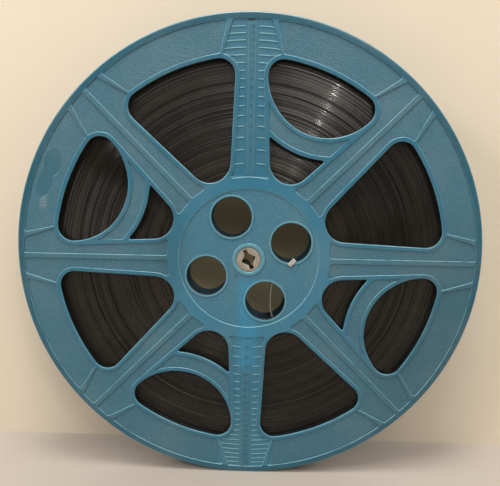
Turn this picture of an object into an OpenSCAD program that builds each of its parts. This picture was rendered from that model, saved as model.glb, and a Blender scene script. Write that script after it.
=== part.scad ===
/* [Flange] */
// Outer diameter of the reel
reel_d = 349.2; // [340:0.2:380]
// Clear width between the two flanges
channel_w = 16.8; // [16.5:0.1:18]
// Thickness of a flange at the floor of its panels
floor_t = 2.9; // [2:0.1:4]
// Height of ribs, lips and beads over the floor of the panels
relief_h = 0.9; // [0.5:0.1:1.5]
// Width of the rounded bead round the rim
bead_w = 4.8; // [3:0.1:7]
// Rounding of the bead's outer edges
bead_round = 1.3; // [0.5:0.1:1.6]

/* [Windows] */
// Radius of the outer edge of the windows
window_r = 145.1; // [140:0.1:150]
// Radius at which the windows end towards the hub
window_in_r = 62.4; // [62.2:0.1:68]
// Width of a spoke where it leaves the hub
spoke_w_hub = 30; // [26:0.1:32]
// Width of a spoke where it meets the rim
spoke_w_rim = 22.2; // [18:0.1:26]
// Corner radius of the windows at the rim
window_corner_r = 11; // [8:0.5:14]
// Width of the curved bar at its middle
bar_w = 15.9; // [12:0.1:18]
// Radius of the hub side of the curved bar
bar_r = 67; // [60:1:80]
// Corner radius where the bar meets a spoke
bar_corner_r = 0.8; // [0.5:0.1:3]

/* [Panels] */
// Width of the lip round each window
lip_w = 3.3; // [2:0.1:4.5]
// Width of the rib along the middle of a plain spoke
rib_w = 4; // [2:0.1:6]
// Distance of a separator from the middle of its spoke, at the windows
sep_in = 20.5; // [19:0.1:23]
// Distance of a separator from the middle of its spoke, at the rim
sep_out = 13.5; // [10:0.1:18]
// Width of a separator at the windows
sep_w_in = 2; // [1:0.1:4]
// Width of a separator at the rim
sep_w_out = 4.2; // [2:0.1:6]
// Corner radius of the panels
panel_corner_r = 1.6; // [0.8:0.1:2]

/* [Scales] */
// Width of the raised band along the middle of a scale
scale_band_w = 5.8; // [4:0.1:8]
// Height of that band and of the marks over the floor of their panel
scale_h = 0.4; // [0.2:0.1:0.5]
// Width of a mark
mark_w = 0.8; // [0.5:0.1:1.2]
// Distance from the middle of a scale to where its marks begin
mark_start = 4.7; // [4.2:0.1:6]
// Number of marks on the scale that counts in feet
foot_marks = 16; // [8:1:16]
// Number of marks on the scale that counts in metres
metre_marks = 20; // [8:1:20]

/* [Hub] */
// Outer diameter of the drum that the film winds on
drum_d = 119.6; // [117:0.1:123]
// Wall of the drum
drum_wall = 2.6; // [2:0.1:4]
// Outer radius of the raised ring round the hub disc
hub_ring_r = 61.5; // [60:0.1:62]
// Radius of the lowered hub disc
hub_disc_r = 52.7; // [51:0.1:56]
// Radius of a finger hole
finger_r = 15.1; // [13:0.1:15.5]
// Radius of the circle that the finger holes lie on
finger_pitch_r = 34.3; // [33:0.1:35]
// Width of the raised lip round a finger hole
finger_lip_w = 1.8; // [1.2:0.1:2]
// Height of that lip over the hub disc
finger_lip_h = 0.7; // [0.3:0.1:0.9]
// Width of a film slot through the drum
slot_w = 3; // [2.4:0.1:4]
// Thickness of the webs between the spindle tube and the drum
web_t = 2.2; // [1.6:0.1:3]

/* [Spindle] */
// Side of the square spindle hole
square_w = 8.1; // [7.9:0.05:8.3]
// Width of the two keyways on a diagonal of the square
key_w = 3.1; // [2.8:0.1:3.4]
// Reach of a keyway from the middle of the reel
key_reach = 7.8; // [7:0.1:8]
// Diameter of a steel spindle plate
plate_d = 18.6; // [18:0.1:20]
// Thickness of a steel spindle plate
plate_t = 1.6; // [1:0.1:2]
// Depth of a plate's face under the top of the ring round it
plate_depth = 1; // [0.6:0.1:1.4]
// Clearance between a plate and the seat that holds it
plate_gap = 0.05; // [0.03:0.01:0.1]
// Radius of the way through the spindle tube
tube_in_r = 8.3; // [8.1:0.1:8.6]
// Outer radius of the spindle tube
tube_r = 11.4; // [10.5:0.1:13]
// Outer radius of the raised ring round a plate
boss_r = 12.6; // [12:0.1:14]
// Bevel on both edges of that ring
boss_bevel = 0.6; // [0.3:0.1:0.8]

/* [Film] */
// Width of the film
film_w = 15.95; // [15.9:0.01:16]
// Thickness of the film
film_t = 0.152; // [0.12:0.002:0.16]
// Clearance between one film length and what it is wound on
film_gap = 0.2; // [0.1:0.05:0.3]
// Outer radius of the first film length
inner_film_r = 77.4; // [70:0.1:90]
// Outer radius of the second film length
middle_film_r = 121; // [110:0.1:130]
// Outer radius of the third film length
outer_film_r = 156.8; // [148:0.1:160]
// Number of loose outer turns
loose_turns = 3; // [1:1:4]
// Gap between two loose turns
loose_gap = 0.45; // [0.42:0.01:0.6]
// How far the free end of the film stands off the turn under it
end_lift = 1.6; // [0.5:0.1:2.5]
// Angle over which the free end lifts
end_angle = 24; // [15:1:40]
// Length of the scrap of white leader
scrap_l = 6.5; // [5:0.1:8]
// Width of the scrap of white leader
scrap_w = 3.2; // [2.4:0.1:4]

/* [Hidden] */
$fn = 96;

plastic = [0.23, 0.45, 0.57];
steel = [0.75, 0.72, 0.64];
film_brown = [0.16, 0.12, 0.10];
film_black = [0.11, 0.10, 0.10];
white = [0.93, 0.92, 0.90];

reel_r = reel_d / 2;
drum_r = drum_d / 2;
rim_in_r = reel_r - bead_w;
floor_z = channel_w / 2 + floor_t;
top_z = floor_z + relief_h;
cut = 1;

// Number of steps in which each kind of arc is drawn
corner_n = 8;
round_n = 5;
small_n = 3;

// Number of spokes, and of windows between them
spoke_n = 8;
// Angle of the first finger hole, slot and key from the level line
hub_turn = 22.5;

half_step = 180 / spoke_n;
spoke_step = 360 / spoke_n;
taper = atan((spoke_w_hub - spoke_w_rim) / 2 / (window_r - drum_r));
side_a = half_step + taper;
side_d = drum_r * sin(taper) + spoke_w_hub / 2 * cos(taper);
finger_n = 4;
finger_step = 360 / finger_n;

function polar(r, a) = [r * cos(a), r * sin(a)];
function arc(c, r, a0, a1, n) = [for (i = [0:n]) c + polar(r, a0 + (a1 - a0) * i / n)];
function turned(p, a) = [p.x * cos(a) - p.y * sin(a), p.x * sin(a) + p.y * cos(a)];
function flipped(pts) = [for (i = [len(pts) - 1:-1:0]) [pts[i].x, -pts[i].y]];

// Where a straight line from a towards b meets a circle for the first time
function line_hit(a, b, c, r) =
    let (u = (b - a) / norm(b - a), w = a - c, k = w * u)
    a + u * (-k - sqrt(k * k - w * w + r * r));

// The crossing of two circles that lies on the right of the way from c0 to c1
function circles_hit(c0, r0, c1, r1) =
    let (d = norm(c1 - c0), u = (c1 - c0) / d, k = (d * d + r0 * r0 - r1 * r1) / (2 * d))
    c0 + u * k + [u.y, -u.x] * sqrt(r0 * r0 - k * k);

// A polygon whose corners are rounded: each point is [place, radius], and radius 0 stays a corner
function rounded(pts) = [for (i = [0:len(pts) - 1])
    let (p = pts[i][0], r = pts[i][1],
        a = pts[(i + len(pts) - 1) % len(pts)][0] - p, b = pts[(i + 1) % len(pts)][0] - p)
    each r == 0 ? [p] : corner(p, a / norm(a), b / norm(b), r)];
function corner(p, u, v, r) =
    let (half = acos(u * v) / 2, c = p + (u + v) / norm(u + v) * r / sin(half),
        s = p + u * r / tan(half) - c, e = p + v * r / tan(half) - c,
        a0 = atan2(s.y, s.x), turn = atan2(s.x * e.y - s.y * e.x, s * e))
    arc(c, r, a0, a0 + turn, small_n);

// Windows are drawn about +X. Their sides are straight lines that would meet in the apex.
side_u = [cos(side_a), sin(side_a)];
apex = [side_d / side_u.y, 0];
end_r = (window_in_r - apex.x) * side_u.y / (1 - side_u.y);
end_c = [window_in_r + end_r, 0];
corner_a = side_a - asin((window_corner_r + side_d) / (window_r - window_corner_r));
corner_c = polar(window_r - window_corner_r, corner_a);
// The outer part of a barred window swings round on one circle from corner to corner
corner_s = (corner_c - apex) * side_u;
lens_r = corner_s * side_u.y / side_u.x;
lens_c = [apex.x + corner_s / side_u.x, 0];
bar_in_r = lens_c.x - lens_r - bar_w;
bar_c = [bar_in_r + bar_r, 0];

// Half outlines run from the hub end round to the middle of the rim side
rim_half = concat(
    arc(corner_c, window_corner_r, 90 + side_a, corner_a, corner_n),
    [for (i = [1:corner_n]) polar(window_r, corner_a * (1 - i / corner_n))]);
function whole(half) = concat(half, [for (i = [len(half) - 2:-1:1]) [half[i].x, -half[i].y]]);
full_window = whole(concat(arc(end_c, end_r, 180, 90 + side_a, corner_n), rim_half));
lens_window = whole(concat(
    [for (i = [0:2 * corner_n - 1]) lens_c + polar(lens_r, 180 - (90 - side_a) * i / 2 / corner_n)], rim_half));

// The corner of the small window is a circle that touches the spoke's side and the bar
small_corner =
    let (n = bar_corner_r * [side_u.y, -side_u.x], w = apex - bar_c + n, k = w * side_u, far = bar_r + bar_corner_r)
    apex + n + side_u * (-k - sqrt(k * k - w * w + far * far));
small_a = atan2(small_corner.y, small_corner.x - bar_c.x);
small_window = whole(concat(
    arc(end_c, end_r, 180, 90 + side_a, corner_n),
    arc(small_corner, bar_corner_r, 90 + side_a, small_a - 180, round_n),
    [for (i = [1:corner_n]) bar_c + polar(bar_r, small_a + (180 - small_a) * i / corner_n)]));

module window(k) {
    rotate((k + 0.5) * spoke_step)
        if (k % 2 == 0) polygon(full_window);
        else {
            polygon(lens_window);
            polygon(small_window);
        }
}

// The panel between two curved lips on a bar
bar_panel =
    let (r0 = bar_r - lip_w, r1 = lens_r + lip_w, p = line_hit(apex, apex + side_u, bar_c, r0) - bar_c,
        q = line_hit(apex, apex + side_u, lens_c, r1) - lens_c)
    whole(concat(arc(bar_c, r0, 180, atan2(p.y, p.x), corner_n), arc(lens_c, r1, atan2(q.y, q.x), 180, corner_n)));

// The panel between a window and the rim
sector_panel =
    let (r0 = window_r + lip_w, a0 = half_step - asin((sep_in + sep_w_in) / r0),
        a1 = half_step - asin((sep_out + sep_w_out) / rim_in_r), n = corner_n)
    rounded(concat([for (i = [0:n]) [polar(rim_in_r, a1 * (2 * i / n - 1)), i % n ? 0 : panel_corner_r]],
        [for (i = [0:n]) [polar(r0, a0 * (1 - 2 * i / n)), i % n ? 0 : panel_corner_r / 2]]));

// One side of a spoke, from its middle or its rib at height y0, drawn along +X.
// Points nearer than this to a rounded corner are left out
clear_of_corner = 1;
function spoke_side(y0) =
    let (lip_c = turned([corner_c.x, -corner_c.y], half_step), lip_r = window_corner_r + lip_w,
        c1 = turned(end_c, half_step), r1 = end_r + lip_w,
        rim = polar(rim_in_r, asin(sep_out / rim_in_r)),
        foot = [sqrt(pow(window_r + lip_w, 2) - sep_in * sep_in), sep_in],
        join = line_hit(rim, foot, lip_c, lip_r), e = join - lip_c,
        hub = circles_hit([0, 0], hub_ring_r, c1, r1), f = hub - c1, a0 = asin(y0 / rim_in_r))
    concat([for (i = [0:small_n - 1]) [polar(rim_in_r, a0 + (asin(sep_out / rim_in_r) - a0) * i / small_n), 0]],
        [[rim, panel_corner_r], [join, panel_corner_r / 2]],
        [for (p = arc(lip_c, lip_r, atan2(e.y, e.x), -90 - taper, corner_n)) if (norm(p - join) > clear_of_corner) [p, 0]],
        [for (p = arc(c1, r1, -90 - taper, atan2(f.y, f.x), small_n))
            [p, norm(p - hub) > clear_of_corner ? 0 : panel_corner_r]],
        [for (i = [1:small_n - 1]) [polar(hub_ring_r,
            asin(y0 / hub_ring_r) + (atan2(hub.y, hub.x) - asin(y0 / hub_ring_r)) * (1 - i / small_n)), 0]]);

plain_panel =
    let (y0 = rib_w / 2, side = spoke_side(y0))
    rounded(concat([[side[0][0], panel_corner_r / 2]], [for (i = [1:len(side) - 1]) side[i]],
        [[polar(hub_ring_r, asin(y0 / hub_ring_r)), panel_corner_r]]));

scale_panel =
    let (side = spoke_side(0), last = len(side) - 1)
    rounded(concat(side, [[[hub_ring_r, 0], 0]],
        [for (i = [last:-1:1]) [[side[i][0].x, -side[i][0].y], side[i][1]]]));

// The two scales are on upright spokes: a mark stands where each further length of film would end
foot_scale_k = spoke_n / 4;
metre_scale_k = 3 * spoke_n / 4;
foot_step = 30480;
metre_step = 25000;
function mark_r(step, n) = sqrt(drum_r * drum_r + n * step * film_t / PI);

module panels() {
    for (k = [0:spoke_n - 1]) {
        rotate((k + 0.5) * spoke_step) {
            polygon(sector_panel);
            if (k % 2 == 1) polygon(bar_panel);
        }
        if (k != foot_scale_k && k != metre_scale_k) rotate(k * spoke_step) {
            polygon(plain_panel);
            polygon(flipped(plain_panel));
        }
    }
    rotate(foot_scale_k * spoke_step) scale_floor(foot_step, foot_marks);
    rotate(metre_scale_k * spoke_step) scale_floor(metre_step, metre_marks);
}
module scale_floor(step, marks) {
    difference() {
        polygon(scale_panel);
        translate([hub_ring_r + relief_h, -scale_band_w / 2])
            square([rim_in_r - hub_ring_r - 2 * relief_h, scale_band_w]);
        difference() {
            for (n = [1:marks]) difference() {
                circle(mark_r(step, n) + mark_w / 2);
                circle(mark_r(step, n) - mark_w / 2);
            }
            translate([-reel_r, -mark_start]) square([2 * reel_r, 2 * mark_start]);
        }
    }
}

// The turned profile of one half, from its middle plane outwards
module half_profile() {
    z0 = channel_w / 2;
    seat_r = plate_d / 2 + plate_gap;
    seat_z = top_z - plate_depth - plate_t;
    polygon(concat(
        [[tube_in_r, 0], [tube_r, 0], [tube_r, z0], [drum_r - drum_wall, z0], [drum_r - drum_wall, 0],
            [drum_r, 0], [drum_r, z0]],
        arc([reel_r - bead_round, z0 + bead_round], bead_round, -90, 0, round_n),
        arc([reel_r - bead_round, top_z - bead_round], bead_round, 0, 90, round_n),
        [[hub_disc_r, top_z], [hub_disc_r, floor_z], [boss_r, floor_z], [boss_r, top_z - boss_bevel],
            [boss_r - boss_bevel, top_z], [seat_r + boss_bevel, top_z], [seat_r, top_z - boss_bevel],
            [seat_r, seat_z], [tube_in_r, seat_z]]));
}

module finger_lip() {
    w = finger_lip_w;
    b = w / 4;
    rotate_extrude()
        polygon([[finger_r - b, floor_z - b], [finger_r - b, floor_z + finger_lip_h],
            [finger_r + w - 2 * b, floor_z + finger_lip_h], [finger_r + w, floor_z + b],
            [finger_r + w, floor_z - b]]);
}

// One moulding, with its middle plane at z = 0 and its outer face up
module half() {
    difference() {
        union() {
            difference() {
                rotate_extrude() half_profile();
                translate([0, 0, channel_w / 2 - cut])
                    linear_extrude(floor_t + relief_h + 2 * cut)
                        for (k = [0:spoke_n - 1]) window(k);
                translate([0, 0, floor_z]) linear_extrude(relief_h + cut) panels();
                translate([0, 0, floor_z + scale_h]) linear_extrude(relief_h - scale_h + cut)
                    for (k = [foot_scale_k, metre_scale_k]) rotate(k * spoke_step) polygon(scale_panel);
            }
            for (k = [0:finger_n - 1]) rotate(hub_turn + k * finger_step) {
                translate([finger_pitch_r, 0, 0]) finger_lip();
                rotate(finger_step / 2) web();
            }
        }
        for (k = [0:finger_n - 1]) rotate(hub_turn + k * finger_step) {
            translate([finger_pitch_r, 0, channel_w / 2 - cut])
                cylinder(r = finger_r, h = floor_t + relief_h + 2 * cut);
            translate([drum_r - drum_wall - cut, -slot_w / 2, -cut])
                cube([drum_wall + 2 * cut, slot_w, channel_w / 2 + cut]);
        }
    }
}
module web() {
    translate([tube_r - cut, -web_t / 2, 0])
        cube([drum_r - drum_wall / 2 - tube_r + cut, web_t, channel_w / 2 + cut]);
}

// The front half faces -Y; the back half is the same part turned over about the line of two finger holes
module as_front() { rotate([90, 0, 0]) children(); }
module as_back() { rotate([90, 0, 0]) rotate(180, polar(1, hub_turn)) children(); }

module spindle_plate() {
    color(steel) translate([0, 0, top_z - plate_depth - plate_t]) difference() {
        cylinder(d = plate_d, h = plate_t);
        translate([0, 0, -cut]) linear_extrude(plate_t + 2 * cut) {
            rotate(hub_turn - 45) square(square_w, center = true);
            rotate(hub_turn + 90) square([2 * key_reach, key_w], center = true);
        }
    }
}

module film_ring(r0, r1, c) {
    color(c) rotate([90, 0, 0]) difference() {
        cylinder(r = r1, h = film_w, center = true);
        cylinder(r = r0, h = film_w + 2 * cut, center = true);
    }
}

// A strip of film that stands on edge along a line of points
function side_of(pts, d) = [for (i = [0:len(pts) - 1])
    let (u = pts[min(i + 1, len(pts) - 1)] - pts[max(i - 1, 0)], n = [u.y, -u.x] / norm(u)) pts[i] + n * d];
module strip(pts) {
    back = side_of(pts, -film_t / 2);
    rotate([90, 0, 0]) linear_extrude(film_w, center = true)
        polygon(concat(side_of(pts, film_t / 2), [for (i = [len(back) - 1:-1:0]) back[i]]));
}

turn_n = 96;
end_at = 150;
loose_pitch = film_t + loose_gap;
loose_r0 = outer_film_r + film_gap + film_t;
loose_total = 360 * loose_turns;
function loose_r(a) =
    let (t = max(0, (a - loose_total + end_angle) / end_angle)) loose_r0 + loose_pitch * a / 360 + end_lift * t * t;
loose_line = [for (i = [0:turn_n * loose_turns])
    let (a = 360 * i / turn_n) polar(loose_r(a), end_at + a - loose_total)];
gaps = [for (i = [0:len(loose_line) - 1 - turn_n]) norm(loose_line[i + turn_n] - loose_line[i]) - film_t];
echo(least_gap_between_loose_turns = min(gaps));

// The tail comes in through the lowest slot, bends up past the finger hole and ends beside the spindle tube
tail_a = hub_turn - finger_step;
tail_low_r = 46;
tail_high_r = 95;
tail_turn_z = -33;
tail_x = 17.2;
tail_top_z = -14;
tail_n = 5;
// The lower arc of the tail begins this much before the mouth of the slot
mouth_lead = 2;
tail_line =
    let (low_c = [tail_x + tail_low_r, tail_turn_z], high_c = [tail_x + tail_high_r, tail_turn_z],
        mouth = turned([drum_r - drum_wall, -slot_w / 2 + film_t + film_gap], tail_a),
        out = turned([drum_r - film_gap, -slot_w / 2 + film_t + film_gap], tail_a),
        a_mouth = 180 + asin((tail_turn_z - mouth.y) / tail_low_r),
        a_top = 180 - asin((tail_top_z - tail_turn_z) / tail_high_r))
    concat([out, mouth], arc(low_c, tail_low_r, a_mouth - mouth_lead, 180, corner_n),
        [for (i = [1:tail_n]) high_c + polar(tail_high_r, 180 + (a_top - 180) * i / tail_n)]);

module front_flange() { color(plastic) as_front() half(); }
module back_flange() { color(plastic) as_back() half(); }
module front_spindle_plate() { as_front() spindle_plate(); }
module back_spindle_plate() { as_back() spindle_plate(); }
module inner_film_length() { film_ring(drum_r + film_gap, inner_film_r, film_brown); }
module middle_film_length() { film_ring(inner_film_r + film_gap, middle_film_r, film_black); }
module outer_film_length() { film_ring(middle_film_r + film_gap, outer_film_r, film_black); }
module outer_film_turns() { color(film_black) strip(loose_line); }
module film_tail() { color(film_brown) strip(tail_line); }

// The scrap of leader lies on the lower lip of the first finger hole and sticks into the hole
scrap_turn = 48;
scrap_gap = 0.03;
module leader_scrap() {
    edge = turned([finger_pitch_r, 0], hub_turn) - [0, finger_r + finger_lip_w / 2];
    color(white) as_front() translate([edge.x, edge.y, floor_z + finger_lip_h + scrap_gap])
        rotate(scrap_turn) translate([-scrap_w / 2, -scrap_w / 2, 0]) cube([scrap_l, scrap_w, film_t]);
}

front_flange();
back_flange();
front_spindle_plate();
back_spindle_plate();
inner_film_length();
middle_film_length();
outer_film_length();
outer_film_turns();
film_tail();
leader_scrap();
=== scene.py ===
"""The looks of a moulded film reel with cine film on it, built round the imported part."""

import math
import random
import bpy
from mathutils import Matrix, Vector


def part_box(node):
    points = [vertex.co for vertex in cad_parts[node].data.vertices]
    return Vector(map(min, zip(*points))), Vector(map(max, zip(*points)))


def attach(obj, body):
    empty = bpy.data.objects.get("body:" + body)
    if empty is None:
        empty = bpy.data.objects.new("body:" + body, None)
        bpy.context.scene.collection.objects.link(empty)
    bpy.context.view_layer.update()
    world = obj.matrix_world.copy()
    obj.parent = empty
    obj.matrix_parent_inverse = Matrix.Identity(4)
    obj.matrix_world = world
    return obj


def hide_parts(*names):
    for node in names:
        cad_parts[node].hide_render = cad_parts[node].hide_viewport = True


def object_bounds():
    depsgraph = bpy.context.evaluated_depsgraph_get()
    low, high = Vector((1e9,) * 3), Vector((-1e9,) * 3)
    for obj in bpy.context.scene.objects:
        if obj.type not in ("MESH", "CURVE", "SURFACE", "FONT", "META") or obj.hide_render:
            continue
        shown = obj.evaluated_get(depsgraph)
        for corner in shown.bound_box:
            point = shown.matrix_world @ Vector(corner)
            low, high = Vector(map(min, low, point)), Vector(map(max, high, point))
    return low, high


bl_info = {
    "name": "Film reel",
    "version": (1, 0, 0),
    "blender": (4, 5, 0),
    "location": "View3D > Sidebar > Reel",
    "description": "Builds a spoked plastic film reel, its steel spindle plates and the film wound on it",
    "category": "Add Mesh",
}

import bmesh
import bpy
from bpy.props import FloatProperty, FloatVectorProperty, IntProperty, PointerProperty
from mathutils import Matrix, Vector

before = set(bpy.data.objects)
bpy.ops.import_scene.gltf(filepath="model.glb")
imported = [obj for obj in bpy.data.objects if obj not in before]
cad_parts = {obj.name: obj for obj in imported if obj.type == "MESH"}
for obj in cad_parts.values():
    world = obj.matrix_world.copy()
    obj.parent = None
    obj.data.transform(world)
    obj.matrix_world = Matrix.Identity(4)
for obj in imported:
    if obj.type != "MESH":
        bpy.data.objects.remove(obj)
CAD_LOW, CAD_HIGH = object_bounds()

MM = 0.001
BODY = "root"
SAME_SPOT = 1e-7
SAME_LEVEL = 0.02 * MM
TOP = -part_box("front_flange")[0].y
FILM_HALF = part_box("outer_film_length")[1].y
CLEARANCE = 0.2 * MM


def length(name, description, default, low, high, precision=5):
    """A size that is given in millimetres."""
    return FloatProperty(
        name=name, description=description, default=default * MM, min=low * MM, max=high * MM,
        unit="LENGTH", precision=precision)


def tint(name, what, default):
    """The colour of something in linear red, green and blue."""
    return FloatVectorProperty(
        name=name, description="Colour of " + what, default=default, subtype="COLOR", size=3, min=0, max=1)


class ReelSizes(bpy.types.PropertyGroup):
    """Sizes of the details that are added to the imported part"""

    floor_level: length("Panel floor", "Height of the panels' floor over the middle plane", 11.3, 9, 12)
    scale_level: length("Scale band", "Height of a scale's band over the middle plane", 11.7, 9, 12)
    finger_level: length("Finger lips", "Height of the finger lips over the middle plane", 12.0, 9, 13)
    inner_level: length("Inner face", "Height of the inner faces over the middle plane", 8.4, 7, 9)
    window_round: length("Window rounding", "Rounding of the lips towards the windows", 1.1, 0.2, 1.4)
    lip_round: length("Lip rounding", "Rounding of lips, ribs and rings towards the panels", 0.46, 0.1, 0.6)
    lip_width: length("Lip rounding width", "Width of that rounding on the lip", 0.60, 0.1, 1.2)
    finger_round: length("Finger lip rounding", "Rounding of the finger holes' lips", 0.45, 0.1, 0.6)
    plate_round: length("Plate rounding", "Rounding of the spindle plates' edges", 0.18, 0.05, 0.4)
    floor_round: length("Panel fillet", "Fillet where a panel's wall meets its floor", 0.42, 0.05, 0.44)
    mark_round: length("Mark rounding", "Rounding of the marks and bands of the two scales", 0.2, 0.05, 0.3)
    disc_radius: length("Hub disc", "Radius of the sunk disc round the spindle", 52.7, 48, 56)
    hub_turn: FloatProperty(
        name="Hub angle", description="Angle of the line about which the back moulding is turned over",
        default=math.radians(22.5), subtype="ANGLE")
    film_thickness: length("Film thickness", "Thickness of one turn of film", 0.152, 0.1, 0.2, precision=6)
    drum_radius: length("Drum radius", "Radius at which the film and both scales start", 59.8, 55, 62)
    digit_height: length("Digit height", "Height of the digits on the scales", 2.6, 1, 4)
    digit_raise: length("Digit relief", "How far the digits stand over the scale's band", 0.16, 0.05, 0.4)
    perforation_pitch: length("Perforation pitch", "Distance from one hole to the next", 7.62, 7, 8)
    spin_steps: IntProperty(
        name="Steps of a turn", description="Number of steps in which a wound length of film is spun",
        default=160, min=64, max=256)


class ReelColours(bpy.types.PropertyGroup):
    """Colours of the reel, the film and the stage"""

    lip: tint("Smooth plastic", "the lips, ribs and bead", (0.036, 0.167, 0.265))
    panel: tint("Stippled plastic", "the panels and the hub disc", (0.059, 0.177, 0.258))
    disc: tint("Hub disc", "the sunk disc round the spindle", (0.055, 0.209, 0.320))
    bead: tint("Rim bead", "the bead round the rim", (0.019, 0.084, 0.124))
    # Worn edges, and the painted highlights on edges, marks and the rim's outer edge
    worn: tint("Worn edge", "rubbed edges of the plastic", (0.190, 0.450, 0.540))
    # Darker pits of the stipple, and painted shade in corners, in two zones and on the digits
    dirt: tint("Dirt", "dirt in the corners", (0.020, 0.050, 0.062))
    dust: tint("Dust", "dust", (0.420, 0.410, 0.370))
    ovals: tint("Smooth ovals", "the two smooth ovals on the front", (0.042, 0.128, 0.180))
    # A painted sheen below the spindle
    bluer: tint("Bluer plastic", "the stretch below the spindle", (0.028, 0.240, 0.420))
    shade: tint("Shade", "walls and inner faces in their own shade", (0.004, 0.010, 0.013))
    # Painted shade in the slot at the top of the front
    slot: tint("Dark slot", "the slot at the top of the front", (0.008, 0.022, 0.028))
    stain: tint("Stain", "the small stain beside the spindle", (0.03, 0.03, 0.03))
    steel: tint("Plated steel", "the spindle plates", (0.470, 0.440, 0.385))
    steel_veil: tint("Veil on the steel", "the thin dirt on the steel", (0.28, 0.22, 0.16))
    steel_specks: tint("Specks on the steel", "the specks on the steel", (0.09, 0.08, 0.07))
    film_edge: tint("Film edges", "the edges of the wound film", (0.0042, 0.0034, 0.0026))
    film_light: tint("Light film edges", "the paler turns", (0.0172, 0.0142, 0.0114))
    film_brown: tint("Brown film edges", "the turns next to the drum", (0.012, 0.009, 0.0065))
    leader: tint("White leader", "the scrap of leader", (0.360, 0.355, 0.335))
    film_gap: tint("Film gaps", "the thin gaps between turns", (0.0020, 0.0016, 0.0012))
    film_side: tint("Film side", "the flat side of the loose turns", (0.020, 0.017, 0.016))
    tail: tint("Film tail", "the clear amber end of the film", (0.600, 0.530, 0.430))
    wall: tint("Backdrop", "the backdrop", (0.710, 0.630, 0.520))
    # Painted shade on the backdrop behind the hub, from its low to its high end
    wall_below: tint("Backdrop, low", "the backdrop low in the hub's holes", (1.0, 0.68, 0.37))
    wall_above: tint("Backdrop, high", "the backdrop high in the hub's holes", (0.36, 0.245, 0.13))
    ground: tint("Floor", "the floor", (0.415, 0.375, 0.335))


def sizes():
    return bpy.context.scene.reel_sizes


def colours():
    return bpy.context.scene.reel_colours


# Node trees


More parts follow.
